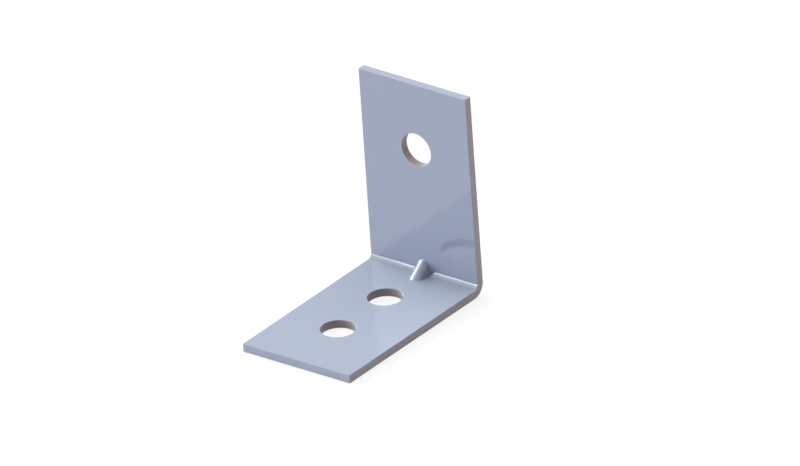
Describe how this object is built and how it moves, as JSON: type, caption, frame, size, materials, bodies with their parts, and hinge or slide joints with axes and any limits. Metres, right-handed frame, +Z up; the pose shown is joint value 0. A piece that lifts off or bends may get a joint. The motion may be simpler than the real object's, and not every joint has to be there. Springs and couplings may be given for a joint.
{
  "type": "reinforced angle bracket",
  "caption": "Folded steel angle bracket with equal legs, round bolt holes and a dart pressed into the inside of the fold as a stiffening rib.",
  "frame": {"origin": "middle of the base's footprint, on the underside of the base", "axes": "+X across the width, +Y from the free end of the base towards the back of the upright, +Z up along the upright"},
  "size_m": [0.03, 0.05, 0.05],
  "materials": {
    "zinc_plated_steel": "bright zinc plate with a bluish tint, smooth, semi-gloss"
  },
  "bodies": {
    "root": {"angle_bracket": "zinc_plated_steel"}
  },
  "joints": []
}
